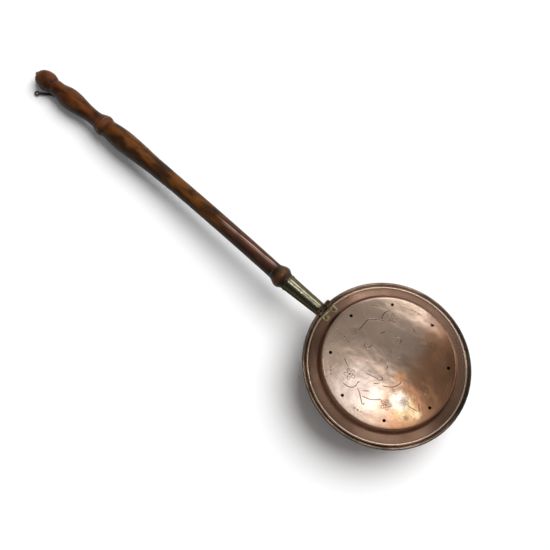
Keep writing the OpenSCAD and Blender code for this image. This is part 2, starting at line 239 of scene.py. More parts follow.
# %% [markdown]
# ## Floor and light
#
# Metal looks like what it mirrors, so a copper lid needs a studio more than it needs lamps. The
# world is a dim grey room with one paler wall and a few pale areas, which the lid mirrors as soft
# shine. Six panels are there only to be mirrored: four give the lid and the pan their brighter
# shine, and two strips draw bright lines on the shaft and the socket. The shaft's pale lines are
# also painted on as highlights. One wide soft sun lights the wood and the floor and gives the
# shadow, and isn't mirrored. The floor adds a little glow where the camera or a mirror looks at
# it, which makes it white.

# %% World
world = bpy.data.worlds.new("studio")
world.use_nodes = True
scene.world = world
tree = world.node_tree
tree.nodes.clear()


def heading(azimuth, elevation):
    """A unit vector from an azimuth and an elevation in degrees."""
    a, e = math.radians(azimuth), math.radians(elevation)
    return Vector((math.cos(e) * math.cos(a), math.cos(e) * math.sin(a), math.sin(e)))


# Each pale area: azimuth, elevation, radius in degrees, strength.
PALE_AREAS = (
    (-75, 68, 22, 0.08),
    (-30, 80, 18, 0.22),
    (175, 66, 28, 0.40),
    (-125, 82, 16, 0.28),
)
room_light = 0.112
wall_light = 0.56
opposite_light = 0.032
wall_azimuth = -80
view_direction = add("ShaderNodeTexCoord")["Generated"]


def towards(azimuth, elevation):
    """The cosine of the angle between the view and a heading."""
    return vector_calc("DOT_PRODUCT", view_direction, heading(azimuth, elevation))


low_down = fade(split(view_direction)["Z"], 0.05, 0.55, 1.0, 0.0)
wall = fade(towards(wall_azimuth, 0), -0.55, 0.45, opposite_light, wall_light)
room = scaled(low_down, wall, room_light)
for azimuth, elevation, radius, strength in PALE_AREAS:
    edge = math.cos(math.radians(radius))
    area = fade(towards(azimuth, elevation), edge, 1.0, 0.0, strength)
    room = plus(room, area)
seen_by_camera = add("ShaderNodeLightPath")["Is Camera Ray"]
room = calc("MAXIMUM", room, seen_by_camera)
glow = add("ShaderNodeBackground", {"Color": (1, 1, 1, 1), "Strength": room})
add("ShaderNodeOutputWorld", {"Surface": glow[0]})
print("world nodes:", len(tree.nodes))

# %% Lamps
sun = shown("sun", bpy.data.lights.new("sun", "SUN"))
sun.data.energy = 3.35
sun.data.angle = math.radians(54)
sun.visible_glossy = False
aimed(sun, heading(-100, 62), (0, 0, 0))

ON_LID = (0, 0, 0.1)
far_off = 2.2
# Each panel: place, target, width, depth, how bright it is in a mirror, and roll in degrees.
PANELS = {
    "overhead_panel": ((-0.255, -0.262, 2.0), ON_LID, 0.62, 0.34, 2.1, 57),
    "side_panel": ((0.16, -0.17, 2.0), ON_LID, 0.50, 0.20, 0.5, 77),
    "back_panel": (far_off * heading(-76, 46), ON_LID, 1.2, 0.5, 0.55, 0),
    "strip_lamp": ((0.60, -1.42, 1.95), (0.5, 0, 0.1), 1.7, 0.13, 3.4, 0),
    "socket_strip": ((0.70, 0.13, 2.0), (0.70, 0, 0.1), 0.24, 0.12, 9.0, 0),
    "low_panel": (far_off * heading(-110, 17), ON_LID, 1.3, 0.35, 2.2, 0),
}
for name, (place, target, width, depth, radiance, roll) in PANELS.items():
    panel = shown(name, bpy.data.lights.new(name, "AREA"))
    panel.data.shape = "RECTANGLE"
    panel.data.size = width
    panel.data.size_y = depth
    panel.data.energy = radiance * math.pi * width * depth
    panel.visible_camera = False
    panel.visible_diffuse = False
    aimed(panel, place, target, roll)

# %% Floor
reach = 6.0
below = -0.0002
corners = [(x * reach, y * reach, below) for x, y in ((-1, -1), (1, -1), (1, 1), (-1, 1))]
floor = mesh_object("floor", corners, faces=[(0, 1, 2, 3)])
pale = {"Base_Color": (0.90, 0.90, 0.90, 1), "Emission_Color": (1, 1, 1, 1)}
floor_finish = new_finish("pale_floor", Roughness=0.9, Specular_IOR_Level=0.1, **pale)
ray = add("ShaderNodeLightPath")
seen = calc("MAXIMUM", ray["Is Camera Ray"], ray["Is Glossy Ray"])
feed(Emission_Strength=times(seen, 0.05))
floor.data.materials.append(floor_finish)
print("floor: %.0f m wide" % (2 * reach))

# %% [markdown]
# ## Shared effects
#
# Three effects appear in more than one finish, so each is a shader group with its own inputs.
# *Tarnish patches* gives cloudy masks, *hand marks* gives the height of small dimples and rubbed
# scratches, and *raised wear* reads how far a spot stands out, where hands and cloths polish it.

# %% Shared effect: tarnish patches
tarnish_inputs = {"Size": 0.03, "Cover": 0.5, "Softness": 0.2, "Seed": 0.0}
tarnish, given = new_tree("tarnish patches", "Shader", tarnish_inputs, ("Mask", "Fine"))
moved = vector_calc("ADD", spot_on(), joined(given["Seed"]))
per_size = over(1.0, given["Size"])
clouds = noise(moved, per_size, Detail=5.0, Roughness=0.55, Distortion=0.15)
fine_scale = times(per_size, 9.0)
fine_clouds = noise(moved, fine_scale, Detail=4.0, Roughness=0.6)
middle = minus(1.0, given["Cover"])
mask_low = minus(middle, given["Softness"])
mask_high = plus(middle, given["Softness"])
mask = fade(clouds, mask_low, mask_high)
finish_tree(Mask=mask, Fine=fine_clouds)

# %% Shared effect: hand marks
mark_inputs = {"Dimple size": 0.012, "Scratch size": 0.0012, "Scratches": 0.3}
marks, given = new_tree("hand marks", "Shader", mark_inputs, ("Height",))
spot = spot_on()
dimples = noise(spot, over(1.0, given["Dimple size"]), Detail=2.0)
scratch_scale = over(1.0, given["Scratch size"])
rubbed = []
for turn, squeeze in ((0.4, 0.04), (1.5, 0.06)):
    laid = mapped(spot, Rotation=(0.0, 0.0, turn), Scale=(1.0, squeeze, 1.0))
    rubbed.append(fade(noise(laid, scratch_scale, Detail=1.0), 0.58, 0.72))
scratches = times(calc("MAXIMUM", *rubbed), given["Scratches"])
finish_tree(Height=minus(dimples, scratches))

# %% Shared effect: raised wear
wear_inputs = {"Reach": 0.5, "Breakup": 0.01}
wear, given = new_tree("raised wear", "Shader", wear_inputs, ("Wear", "Hollow"))
raised = add("ShaderNodeAttribute", attribute_name="raised")["Fac"]
ragged = noise(spot_on(), over(1.0, given["Breakup"]), Detail=5.0)
uneven = scaled(minus(ragged, 0.5), 0.9, raised)
worn = fade(uneven, minus(1.0, given["Reach"]), 1.0)
hollow = fade(times(uneven, -1.0), 0.1, 0.9)
finish_tree(Wear=worn, Hollow=hollow)

# %% Use of the shared effects


def effect(group, **values):
    """Places a shared effect. Returns its outputs."""
    values = {label.replace("_", " "): value for label, value in values.items()}
    return add("ShaderNodeGroup", values, node_tree=group)


def bump(height, distance):
    """A normal that follows the height."""
    return add("ShaderNodeBump", {"Height": height, "Distance": distance})[0]


# %% [markdown]
# ## Copper
#
# Both copper pieces were raised from sheet. The lid's plate is polished and a little pink, with a
# brown side and a few stains, and soft patches on it also hold a painted highlight, painted glints
# and painted shade. Its sloping band keeps a brown skin, because a cloth doesn't reach into it,
# with darker patches of painted shade, and the steep riser's brown is painted nearly black as
# painted shade. Inside, it is dull tin. The pan is brown, darker towards the base and green-black
# at the rim. The zones come from the distance to the pan's axis, and the stains and the painted
# patches are soft patches at their places.

# %% Sizes of the copper's zones
pan_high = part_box("pan_bowl")[1]
lid_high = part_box("lid_shell")[1]
rim_r = pan_high.x
pan_h = pan_high.z
lid_r = lid_high.x
sheet = 0.9 * MM
plate_zone_r = 122.6 * MM
riser_zone_r = 129.0 * MM
band_zone_r = 145.6 * MM
print("rim %.1f mm, lid %.1f mm, height %.1f mm" % (2000 * rim_r, 2000 * lid_r, 1000 * pan_h))

# %% Where a spot lies


def axis_distance():
    """Distance from the pan's axis, and the height."""
    place = split(spot_on())
    squares = [times(place[axis], place[axis]) for axis in ("X", "Y")]
    return calc("SQRT", plus(*squares)), place["Z"]


def on_flank(low, high):
    """1 where the surface faces sideways or down, and 0 on top."""
    upward = split(add("ShaderNodeTexCoord")["Normal"])["Z"]
    return fade(upward, low, high, 1.0, 0.0)


def lid_distance(spot, x, y):
    """How far a spot is from a place on the lid, given in mm."""
    return vector_calc("DISTANCE", spot, (x * MM, y * MM, lid_high.z))


def soft_patch(away, core, radius, strength):
    """A round patch that is full within its core and gone at its radius in mm."""
    return fade(away, core * radius * MM, radius * MM, strength, 0.0)


# %% The lid's finish
# Stains on the plate, with painted light among them: x, y and radius in mm, how strong, and colour.
STAINS_AND_PAINTED_LIGHT = (
    (15, 80, 62, 0.65, (0.90, 0.73, 0.64)),
    (-33, 9, 17, 0.65, (0.83, 0.43, 0.21)),
    # Painted highlight: a yellow tint where the plate mirrors the overhead panel.
    (-72, 48, 32, 0.55, (0.96, 0.76, 0.44)),
    (-87, 60, 7, 0.8, (0.42, 0.22, 0.16)),
    (-84, 26, 12, 0.7, (0.50, 0.24, 0.13)),
    (-72, 76, 6, 0.8, (0.45, 0.24, 0.20)),
    # Painted highlight: a yellow tint at the edge of the plate's brightest reflection.
    (-98, 42, 13, 0.7, (0.92, 0.72, 0.46)),
    (-20, -16, 20, 0.45, (0.50, 0.32, 0.22)),
    # Painted highlight: near-white where the plate mirrors the overhead panel.
    (-58, 46, 24, 0.85, (0.99, 0.92, 0.80)),
    # Painted glints: three small near-white spots at the plate's edge.
    (-46, -112, 6, 0.9, (1.0, 0.94, 0.86)),
    (-104, -62, 7, 0.9, (1.0, 0.94, 0.86)),
    (-118, -16, 6, 0.9, (1.0, 0.94, 0.86)),
    # Painted shade: a dark brown patch along the plate's upper edge.
    (-14, -124, 28, 0.75, (0.42, 0.27, 0.20)),
    (-66, 39, 11, 0.55, (0.66, 0.40, 0.28)),
)
# Darker patches on the band, the first of them painted shade where the band mirrors a lamp: x, y
# and radius in mm, and how strong.
DARK_BAND_PATCHES = ((110, 86, 80, 0.75), (-142, 6, 58, 0.6))


def lid_copper():
    """Polished plate with a brown side, brown band, dark riser, bright edge, tinned inside."""
    material = new_finish("lid_copper", Metallic=1.0)
    distance, _ = axis_distance()
    past_plate = fade(distance, plate_zone_r + 0.2 * MM, plate_zone_r + 1.4 * MM)
    band_starts = (riser_zone_r - 1.5 * MM, riser_zone_r + 3.0 * MM)
    before_band = fade(distance, *band_starts, 1.0, 0.0)
    on_riser = times(past_plate, before_band)
    on_band = fade(distance, plate_zone_r + 0.6 * MM, plate_zone_r + 2.0 * MM)
    on_edge = fade(distance, band_zone_r, band_zone_r + 1.2 * MM)
    mask, fine = effect(tarnish, Size=0.045, Cover=0.42, Softness=0.25, Seed=3.0)
    spot = spot_on()
    far_side = vector_calc("DOT_PRODUCT", spot, heading(-170, 0))
    far_side = scaled(mask, 30.0 * MM, far_side)
    brown_side = fade(far_side, 8.0 * MM, 78.0 * MM, 0.0, 0.92)
    plate = blend(fine, (0.83, 0.62, 0.49), (0.73, 0.53, 0.40))
    plate = layer(plate, (0.62, 0.43, 0.32), mask, 0.4)
    plate = blend(brown_side, plate, (0.46, 0.22, 0.11))
    ragged = minus(fine, 0.5)
    # Each patch is blended in: real stains, and also the painted highlight, glints and shade.
    for x, y, radius, strength, patch_colour in STAINS_AND_PAINTED_LIGHT:
        away = scaled(ragged, 0.6 * radius * MM, lid_distance(spot, x, y))
        plate = blend(soft_patch(away, 0.35, radius, strength), plate, patch_colour)
    band = blend(mask, (0.60, 0.36, 0.25), (0.40, 0.21, 0.13))
    # Painted shade: the band is painted darker at these patches.
    for x, y, radius, strength in DARK_BAND_PATCHES:
        band_darkening = soft_patch(lid_distance(spot, x, y), 0.3, radius, strength)
        band = blend(band_darkening, band, (0.13, 0.07, 0.045))
    zones = blend(on_band, plate, band)
    # Painted shade: the steep riser's brown tarnish is painted nearly black.
    zones = blend(on_riser, zones, (0.14, 0.062, 0.034))
    zones = blend(on_edge, zones, (0.93, 0.76, 0.60))
    worn, hollow = effect(wear, Reach=0.6, Breakup=0.004)
    zones = layer(zones, (0.95, 0.80, 0.66), worn, 0.45)
    zones = layer(zones, (0.06, 0.035, 0.025), hollow, 0.85)
    tin = blend(mask, (0.24, 0.21, 0.18), (0.11, 0.09, 0.075))
    inside = on_flank(-0.55, -0.25)
    rough = scaled(mask, 0.09, 0.19)
    for zone, more in ((inside, 0.18), (on_band, 0.08), (on_edge, -0.12), (hollow, 0.35)):
        rough = scaled(zone, more, rough)
    height = effect(marks, Dimple_size=0.016, Scratch_size=0.0011, Scratches=0.10)["Height"]
    colour = blend(inside, zones, tin)
    feed(Base_Color=colour, Roughness=rough, Normal=bump(height, 0.2 * MM))
    return material


# %% The other copper finishes


def pan_copper():
    """Brown, darker towards the base, with a worn rim that is green-black at its edge."""
    material = new_finish("pan_copper", Metallic=1.0)
    distance, height = axis_distance()
    mask, fine = effect(tarnish, Size=0.05, Cover=0.5, Softness=0.2, Seed=7.0)
    skin = blend(mask, (0.44, 0.25, 0.17), (0.27, 0.15, 0.10))
    low_down = fade(height, 2.0 * MM, 45.0 * MM, 1.0, 0.0)
    skin = layer(skin, (0.10, 0.075, 0.06), low_down, 0.75)
    on_rim = fade(distance, rim_r - 7.0 * MM, rim_r - 5.0 * MM)
    bright = blend(mask, (0.62, 0.44, 0.34), (0.17, 0.125, 0.095))
    skin = blend(on_rim, skin, bright)
    outermost = fade(distance, rim_r - 2.0 * MM, rim_r - 0.8 * MM)
    green = blend(fine, (0.06, 0.07, 0.06), (0.15, 0.15, 0.12))
    skin = blend(outermost, skin, green)
    dark_side = vector_calc("DOT_PRODUCT", spot_on(), heading(-138, 0))
    dark_side = fade(dark_side, 90.0 * MM, 145.0 * MM, 0.0, 0.8)
    skin = layer(skin, (0.05, 0.055, 0.045), dark_side, on_rim)
    rough = scaled(on_rim, -0.08, scaled(mask, 0.12, 0.22))
    height = effect(marks, Dimple_size=0.014, Scratch_size=0.0012, Scratches=0.2)["Height"]
    feed(Base_Color=skin, Roughness=rough, Normal=bump(height, 0.3 * MM))
    return material


def plain_copper():
    """Dull hammered copper of the rivets and their washers."""
    material = new_finish("rivet_copper", Metallic=1.0)
    mask, _ = effect(tarnish, Size=0.004, Cover=0.5, Softness=0.2, Seed=1.0)
    worn = effect(wear, Reach=0.5, Breakup=0.002)["Wear"]
    dull = blend(mask, (0.50, 0.30, 0.21), (0.26, 0.15, 0.10))
    colour = blend(worn, dull, (0.80, 0.55, 0.42))
    height = effect(marks, Dimple_size=0.002)["Height"]
    feed(Base_Color=colour, Roughness=scaled(mask, 0.2, 0.3), Normal=bump(height, 0.2 * MM))
    return material


lid_finish = lid_copper()
pan_finish = pan_copper()
rivet_finish = plain_copper()
print("copper finishes:", lid_finish.name, pan_finish.name, rivet_finish.name)

# %% [markdown]
# ## Brass and iron
#
# The socket and the hinge are brass that has gone olive. Where it stands out it is rubbed back
# to yellow, its flanks are painted darker as painted shade, and near the rim, around the knuckles,
# it is darkened nearly to black. The pins, the hanging link and the wires in the rolled edges are
# iron: nearly black, with rust in the pits.

# %% Brass and iron finishes


def aged_brass(name, clean, aged, rubbed, reach, seed, smoothest, shade_strength):
    """Brass between a clean and an aged colour, with rubbed raised places and flanks painted dark
    as painted shade.
    """
    material = new_finish(name, Metallic=1.0, Specular_Tint=(0.30, 0.28, 0.20, 1))
    mask, _ = effect(tarnish, Size=0.012, Cover=0.5, Softness=0.22, Seed=seed)
    worn = effect(wear, Reach=reach, Breakup=0.006)["Wear"]
    skin = blend(worn, blend(mask, clean, aged), rubbed)
    # Painted shade: flanks that face sideways or down are painted darker, in two steps.
    skin = layer(skin, (0.15, 0.14, 0.08), on_flank(0.85, 0.99), shade_strength)
    skin = layer(skin, (0.035, 0.033, 0.018), on_flank(0.45, 0.90), shade_strength)
    # Near the rim, around the knuckles, the brass is darkened nearly to black.
    x = split(spot_on())["X"]
    from_pan = fade(x, rim_r - 15.0 * MM, rim_r - 10.0 * MM)
    to_neck = fade(x, rim_r + 3.0 * MM, rim_r + 8.0 * MM, 1.0, 0.0)
    skin = layer(skin, (0.075, 0.048, 0.03), times(from_pan, to_neck), 0.93)
    height = effect(marks, Dimple_size=0.007, Scratch_size=0.0008)["Height"]
    rough = scaled(mask, 0.12, smoothest)
    feed(Base_Color=skin, Roughness=rough, Normal=bump(height, 0.2 * MM))
    return material


def dark_iron():
    """Forged iron, dark with brown rust in its pits."""
    material = new_finish("dark_iron", Metallic=0.85)
    mask, _ = effect(tarnish, Size=0.006, Cover=0.45, Softness=0.14, Seed=5.0)
    worn = effect(wear, Reach=0.45, Breakup=0.003)["Wear"]
    skin = blend(mask, (0.026, 0.025, 0.025), (0.045, 0.027, 0.018))
    colour = blend(worn, skin, (0.11, 0.105, 0.10))
    height = effect(marks, Dimple_size=0.003)["Height"]
    feed(Base_Color=colour, Roughness=scaled(mask, 0.3, 0.38), Normal=bump(height, 0.4 * MM))
    return material


socket_finish = aged_brass(
    "socket_brass", (0.82, 0.77, 0.55), (0.52, 0.49, 0.32), (0.72, 0.64, 0.42), 0.3, 2.0, 0.06, 0.96
)
hinge_finish = aged_brass(
    "hinge_brass", (0.42, 0.35, 0.15), (0.20, 0.165, 0.07), (0.74, 0.64, 0.36), 0.45, 4.0, 0.22, 0.2
)
iron_finish = dark_iron()
print("brass and iron:", socket_finish.name, hinge_finish.name, iron_finish.name)

# %% [markdown]
# ## Wood
#
# The handle is a dark fruitwood under old polish. Its far half has a flame figure: noise that is
# stretched along the handle and turned a little aslant gives orange streaks, redder on the grip.
# The half near the pan is lacquered, and painted darker as a painted reflection, with pale lines
# painted along it as highlights. The flanks are painted nearly black as painted shade. Fine pores
# darken all of it, and three thin pale rings are painted round it. The grain follows the handle,
# so the coordinates are turned by the handle's small tilt first.

# %% Handle sizes
handle_low, handle_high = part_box("turned_handle")
print("CAD handle: %.0f mm along X" % ((handle_high.x - handle_low.x) / MM))
socket_drop = 19.0 * MM
socket_z = pan_h - socket_drop
finial_r = 20.4 * MM
floor_gap = 0.1 * MM
socket_len = 83.0 * MM
handle_len = 676.0 * MM
axis_len = socket_len + handle_len
finial_at = 30.0 * MM
handle_drop = math.asin((socket_z - finial_r - floor_gap) / (axis_len - finial_at))
print("handle drops %.2f degrees over %.0f mm" % (math.degrees(handle_drop), 1000 * axis_len))

# %% Wood finish
# Thin pale rings painted round the handle, in mm from the tip.
PALE_RINGS = (50.5, 184.5, 642.5)
# Painted highlights, pale lines along the near half: their slant from the top, as a tangent, and
# how strong.
HIGHLIGHT_LINES = ((-0.20, 0.35), (-0.42, 1.0))


def turned_wood():
    """Flame-figured wood, a redder grip, painted highlights and shade, a near half lacquered and
    painted darker.
    """
    material = new_finish("handle_wood", Specular_IOR_Level=0.12, Coat_Roughness=0.10)
    at_rim = {"Location": (rim_r, 0.0, socket_z), "Rotation": (0.0, handle_drop, 0.0)}
    place = mapped(spot_on(), "TEXTURE", **at_rim)
    axes = split(place)
    along = axes["X"]
    far_half = fade(along, 235.0 * MM, 275.0 * MM)
    near_half = minus(1.0, far_half)
    slanted = mapped(place, Rotation=(0.0, 0.3, -0.62), Scale=(0.42, 1.0, 1.0))
    flame = noise(slanted, 62.0, Detail=3.0, Roughness=0.45, Distortion=0.4)
    figure = fade(flame, 0.36, 0.64)
    fibre = noise(mapped(place, Scale=(0.035, 1.0, 1.0)), 420.0, Detail=3.0)
    pores = fade(fibre, 0.56, 0.70)

    dark = blend(fibre, (0.024, 0.011, 0.004), (0.040, 0.016, 0.006))
    orange = blend(fibre, (0.155, 0.052, 0.009), (0.105, 0.038, 0.008))
    figured = blend(figure, dark, orange)
    on_grip = fade(along, axis_len - 235.0 * MM, axis_len - 185.0 * MM, 0.0, 0.8)
    reddish = blend(figure, (0.042, 0.012, 0.005), (0.118, 0.034, 0.009))
    figured = blend(on_grip, figured, reddish)
    # Painted reflection: the half near the pan is painted darker.
    darker_near_pan = blend(figure, (0.050, 0.018, 0.009), (0.085, 0.030, 0.014))
    grown = blend(far_half, darker_near_pan, figured)

    slant = over(axes["Y"], calc("MAXIMUM", axes["Z"], 1.0 * MM))
    slant = scaled(minus(flame, 0.5), 0.25, slant)
    broken = fade(flame, 0.36, 0.56, 0.25, 1.0)
    # Each pale line is a painted highlight along the top of the near half.
    for line, strength in HIGHLIGHT_LINES:
        aside = calc("ABSOLUTE", minus(slant, line))
        highlight_streak = times(fade(aside, 0.01, 0.08, strength, 0.0), broken)
        grown = layer(grown, (0.62, 0.42, 0.35), highlight_streak, near_half)
    last_bead = fade(along, socket_len + 30.0 * MM, socket_len + 37.0 * MM, 0.85, 0.0)
    grown = blend(last_bead, grown, (0.040, 0.020, 0.008))
    # Painted shade: the flanks are painted nearly black, more so on the half near the pan.
    near_flank_shade = times(on_flank(0.5, 0.97), near_half)
    flank_shade = calc("MAXIMUM", on_flank(0.35, 0.86), near_flank_shade)
    grown = layer(grown, (0.012, 0.007, 0.003), flank_shade, 0.8)
    grown = layer(grown, (0.012, 0.005, 0.003), pores, 0.5)
    worn, hollow = effect(wear, Reach=0.5, Breakup=0.012)
    grown = layer(grown, (0.15, 0.055, 0.02), worn, 0.3)
    grown = layer(grown, (0.010, 0.006, 0.004), hollow, 0.5)
    for from_tip in PALE_RINGS:
        aside = calc("ABSOLUTE", minus(along, axis_len - from_tip * MM))
        aside = scaled(minus(flame, 0.42), 5.0 * MM, aside)
        pale_ring = fade(aside, 0.2 * MM, 1.1 * MM, 0.5, 0.0)
        grown = blend(pale_ring, grown, (0.30, 0.19, 0.13))

    lacquer = scaled(far_half, -0.85, 1.0)
    on_top = minus(1.0, on_flank(0.88, 0.97))
    rough = scaled(pores, 0.15, scaled(far_half, 0.05, 0.30))
    normal = bump(scaled(pores, -0.6, times(flame, 0.5)), 0.2 * MM)
    coat = times(lacquer, on_top)
    feed(Base_Color=grown, Coat_Weight=coat, Roughness=rough, Normal=normal)
    return material


wood_finish = turned_wood()
print("wood nodes:", len(wood_finish.node_tree.nodes))

# %% [markdown]
# ## Outlines
#
# A turned or spun piece is one outline carried round an axis. The outlines are worked out here
# the way the sheet was shaped: straight stretches joined by arcs, then a second face one sheet
# thickness away. Each point also says how far a dent may push it, and how much it stands out.

# %% Arcs, corners and divided paths


def direction_of(degrees):
    """A unit vector in the plane."""
    return Vector((math.cos(math.radians(degrees)), math.sin(math.radians(degrees))))


def left_of(v):
    """The vector, turned a quarter to the left."""
    return Vector((-v.y, v.x))


def arc(centre, radius, start, stop, steps):
    """Points on an arc, with angles in degrees."""
    turns = [start + (stop - start) * i / steps for i in range(steps + 1)]
    return [centre + radius * direction_of(turn) for turn in turns]


def rounded(a, b, c, radius, steps=8):
    """The corner at b, rounded."""
    before, after = (b - a).normalized(), (c - b).normalized()
    turn = math.degrees(math.atan2(before.x * after.y - before.y * after.x, before.dot(after)))
    side = 1 if turn > 0 else -1
    start = b - before * radius * math.tan(math.radians(abs(turn) / 2))
    centre = start + side * radius * left_of(before)
    first = math.degrees(math.atan2(start.y - centre.y, start.x - centre.x))
    return arc(centre, radius, first, first + turn, steps)


def divided(path, longest):
    """The path with its long stretches divided, so that dents have points to move."""
    points = [path[0]]
    for a, b in zip(path, path[1:]):
        count = max(1, math.ceil((b - a).length / longest))
        points += [a.lerp(b, i / count) for i in range(1, count + 1)]
    return points


# %% Outlines with their dents and raised places


def sideways(path):
    """The unit normal to the left of the path at each point."""
    normals = []
    for i in range(len(path)):
        before = path[i] - path[max(i - 1, 0)]
        after = path[min(i + 1, len(path) - 1)] - path[i]
        normals.append(left_of((before.normalized() + after.normalized()).normalized()))
    return normals


def outline_object(name, points, pushes=(), raised=()):
    """An edge-only mesh of the outline, X as the radius, with its attributes."""
    edges = [(i, i + 1) for i in range(len(points) - 1)]
    numbers = {"raised": raised} if raised else {}
    outline = mesh_object(name, [(p.x, 0.0, p.y) for p in points], edges, **numbers)
    if pushes:
        push = outline.data.attributes.new("push", "FLOAT_VECTOR", "POINT")
        push.data.foreach_set("vector", [value for p in pushes for value in (p.x, 0.0, p.y)])
    return outline


def standing_out(points, reach, full):
    """How much each point of an outline stands out from its neighbours, from -1 to 1."""
    searched = 40
    result = []
    for i, p in enumerate(points):
        around = points[max(0, i - searched):i + searched + 1]
        near = [q for q in around if (q - p).length < reach]
        average = sum(near, Vector((0, 0))) / len(near)
        result.append(max(-1.0, min(1.0, (p.x - average.x) / full)))
    return result


def sheet_outline(name, path, thickness, dent_weight):
    """The outline of a sheet that follows the path, closed at the path's end."""
    normals = sideways(path)
    other = [p + thickness * n for p, n in zip(path, normals)]
    pushes = [dent_weight(p) * n for p, n in zip(path, normals)]
    return outline_object(name, path + other[::-1], pushes + pushes[::-1])


# %% [markdown]
# ## The lathe, as Geometry Nodes
#
# The tree lays a flat grid, one column for each point of the outline and one row for each step
# round the axis, and moves every grid point to where the outline says. Noise pushes the dented
# stretches. A bow bends a long piece to one side, as old wood does, and the last steps tilt
# the piece, place it and give it its material.

# %% Helpers for shapes in node trees


def named(attribute, kind="FLOAT"):
    """The values of a named attribute."""
    return add("GeometryNodeInputNamedAttribute", {"Name": attribute}, data_type=kind)[0]


def held_by(label):
    """The shape of the object that an input of the tree holds."""
    return add("GeometryNodeObjectInfo", {"Object": given[label]})["Geometry"]


def change(kind, shape, **values):
    """One step that takes a shape and gives a changed one."""
    return add("GeometryNode" + kind, {"Geometry": shape, **values})[0]


def finish_shape(shape):
    """Makes instances real, gives the material and ends the tree."""
    real = change("RealizeInstances", shape)
    finish_tree(Geometry=change("SetMaterial", real, Material=given["Material"]))


# %% The lathe
LATHE_INPUTS = {
    "Outline": "Geometry",
    "Steps": 96,
    "Closed": False,
    "Dent depth": 0.0,
    "Dent size": 0.05,
    "Seed": 0.0,
    "Bow": 0.0,
    "Bow start": 0.0,
    "Bow length": 1.0,
    "Tilt": 0.0,
    "Place": (0.0, 0.0, 0.0),
    "Material": "Material",
}
lathe, given = new_tree("lathe", "Geometry", LATHE_INPUTS, ("Geometry",))
count = add("GeometryNodeAttributeDomainSize", {0: given["Outline"]})["Point Count"]
columns = plus(count, given["Closed"])
rows = plus(given["Steps"], 1)
sizes = {"Size X": 1.0, "Size Y": 1.0, "Vertices X": columns, "Vertices Y": rows}
grid = add("GeometryNodeMeshGrid", sizes)["Mesh"]
position = add("GeometryNodeInputPosition")[0]
flat = split(position)
column = times(plus(flat["X"], 0.5), minus(columns, 1))
column = calc("MODULO", calc("ROUND", column), count)
turn_angle = times(plus(flat["Y"], 0.5), math.tau)


def from_outline(field, kind="FLOAT_VECTOR"):
    """Reads a value of the outline at this grid point's column."""
    values = {"Geometry": given["Outline"], "Value": field, "Index": column}
    return add("GeometryNodeSampleIndex", values, data_type=kind)[0]


def carried_round(point):
    """Turns a point of the outline about the axis."""
    values = {"Vector": point, "Axis": (0.0, 0.0, 1.0), "Angle": turn_angle}
    return add("ShaderNodeVectorRotate", values)[0]


round_place = carried_round(from_outline(position))
raised = from_outline(named("raised"), "FLOAT")
stored = change("StoreNamedAttribute", grid, Name="raised", Value=raised)

noise_at = vector_calc("ADD", round_place, joined(given["Seed"]))
unevenness = noise(noise_at, over(1.0, given["Dent size"]), Detail=2.5)
depth = times(minus(unevenness, 0.5), times(given["Dent depth"], 2.0))
push = carried_round(from_outline(named("push", "FLOAT_VECTOR")))
dent = add("ShaderNodeVectorMath", {0: push, "Scale": depth}, operation="SCALE")[0]

level = minus(split(round_place)["Z"], given["Bow start"])
share = add("ShaderNodeClamp", {0: over(level, given["Bow length"])})[0]
wave = calc("SINE", times(share, math.pi))
bend = times(wave, given["Bow"])
bent = vector_calc("ADD", round_place, joined(y=bend))

join_within = 0.004 * MM
shaped = change("SetPosition", stored, Position=vector_calc("ADD", bent, dent))
merged = change("MergeByDistance", shaped, Distance=join_within)
tilt = joined(y=given["Tilt"])
tilted = change("Transform", merged, Translation=given["Place"], Rotation=tilt)
finish_shape(change("SetShadeSmooth", tilted))

# %% Use of a tree


def grow(piece, group, **values):
    """Runs the tree on the piece and keeps the result as a plain mesh."""
    modifier = piece.modifiers.new(group.name, "NODES")
    modifier.node_group = group
    for item in group.interface.items_tree:
        label = item.name.replace(" ", "_")
        if item.in_out == "INPUT" and label in values:
            modifier[item.identifier] = values[label]
    evaluated = piece.evaluated_get(bpy.context.evaluated_depsgraph_get())
    mesh = bpy.data.meshes.new_from_object(evaluated)
    piece.modifiers.clear()
    piece.data = mesh


def tidy(piece, sharp=35.0):
    """Closes doubles, turns the faces outwards and keeps hard edges crisp."""
    doubles_within = 0.0005 * MM
    work = bmesh.new()
    work.from_mesh(piece.data)
    bmesh.ops.remove_doubles(work, verts=work.verts, dist=doubles_within)
    loose = [v for v in work.verts if not v.link_faces]
    bmesh.ops.delete(work, geom=loose, context="VERTS")
    bmesh.ops.recalc_face_normals(work, faces=work.faces)
    work.to_mesh(piece.data)
    work.free()
    piece.data.shade_smooth()
    piece.data.set_sharp_from_angle(angle=math.radians(sharp))
    return piece


def place_piece(piece, body, slot, *nodes):
    """Makes the piece ride on its body and stand for the nodes."""
    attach(piece, body)
    if nodes:
        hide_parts(*nodes)
    size = piece.dimensions * 1000
    print("%s: %d faces, %.0f x %.0f x %.0f mm" % (piece.name, len(piece.data.polygons), *size))


# %% [markdown]
# ## The pan
#
# The pan is one disc of sheet copper, hammered up into a round-cornered bowl. Its lip flares
# out and is rolled round an iron wire. The path runs along the outside from the middle of
# the base to the end of the roll, and the sheet lies to the left of it, which is the inside.

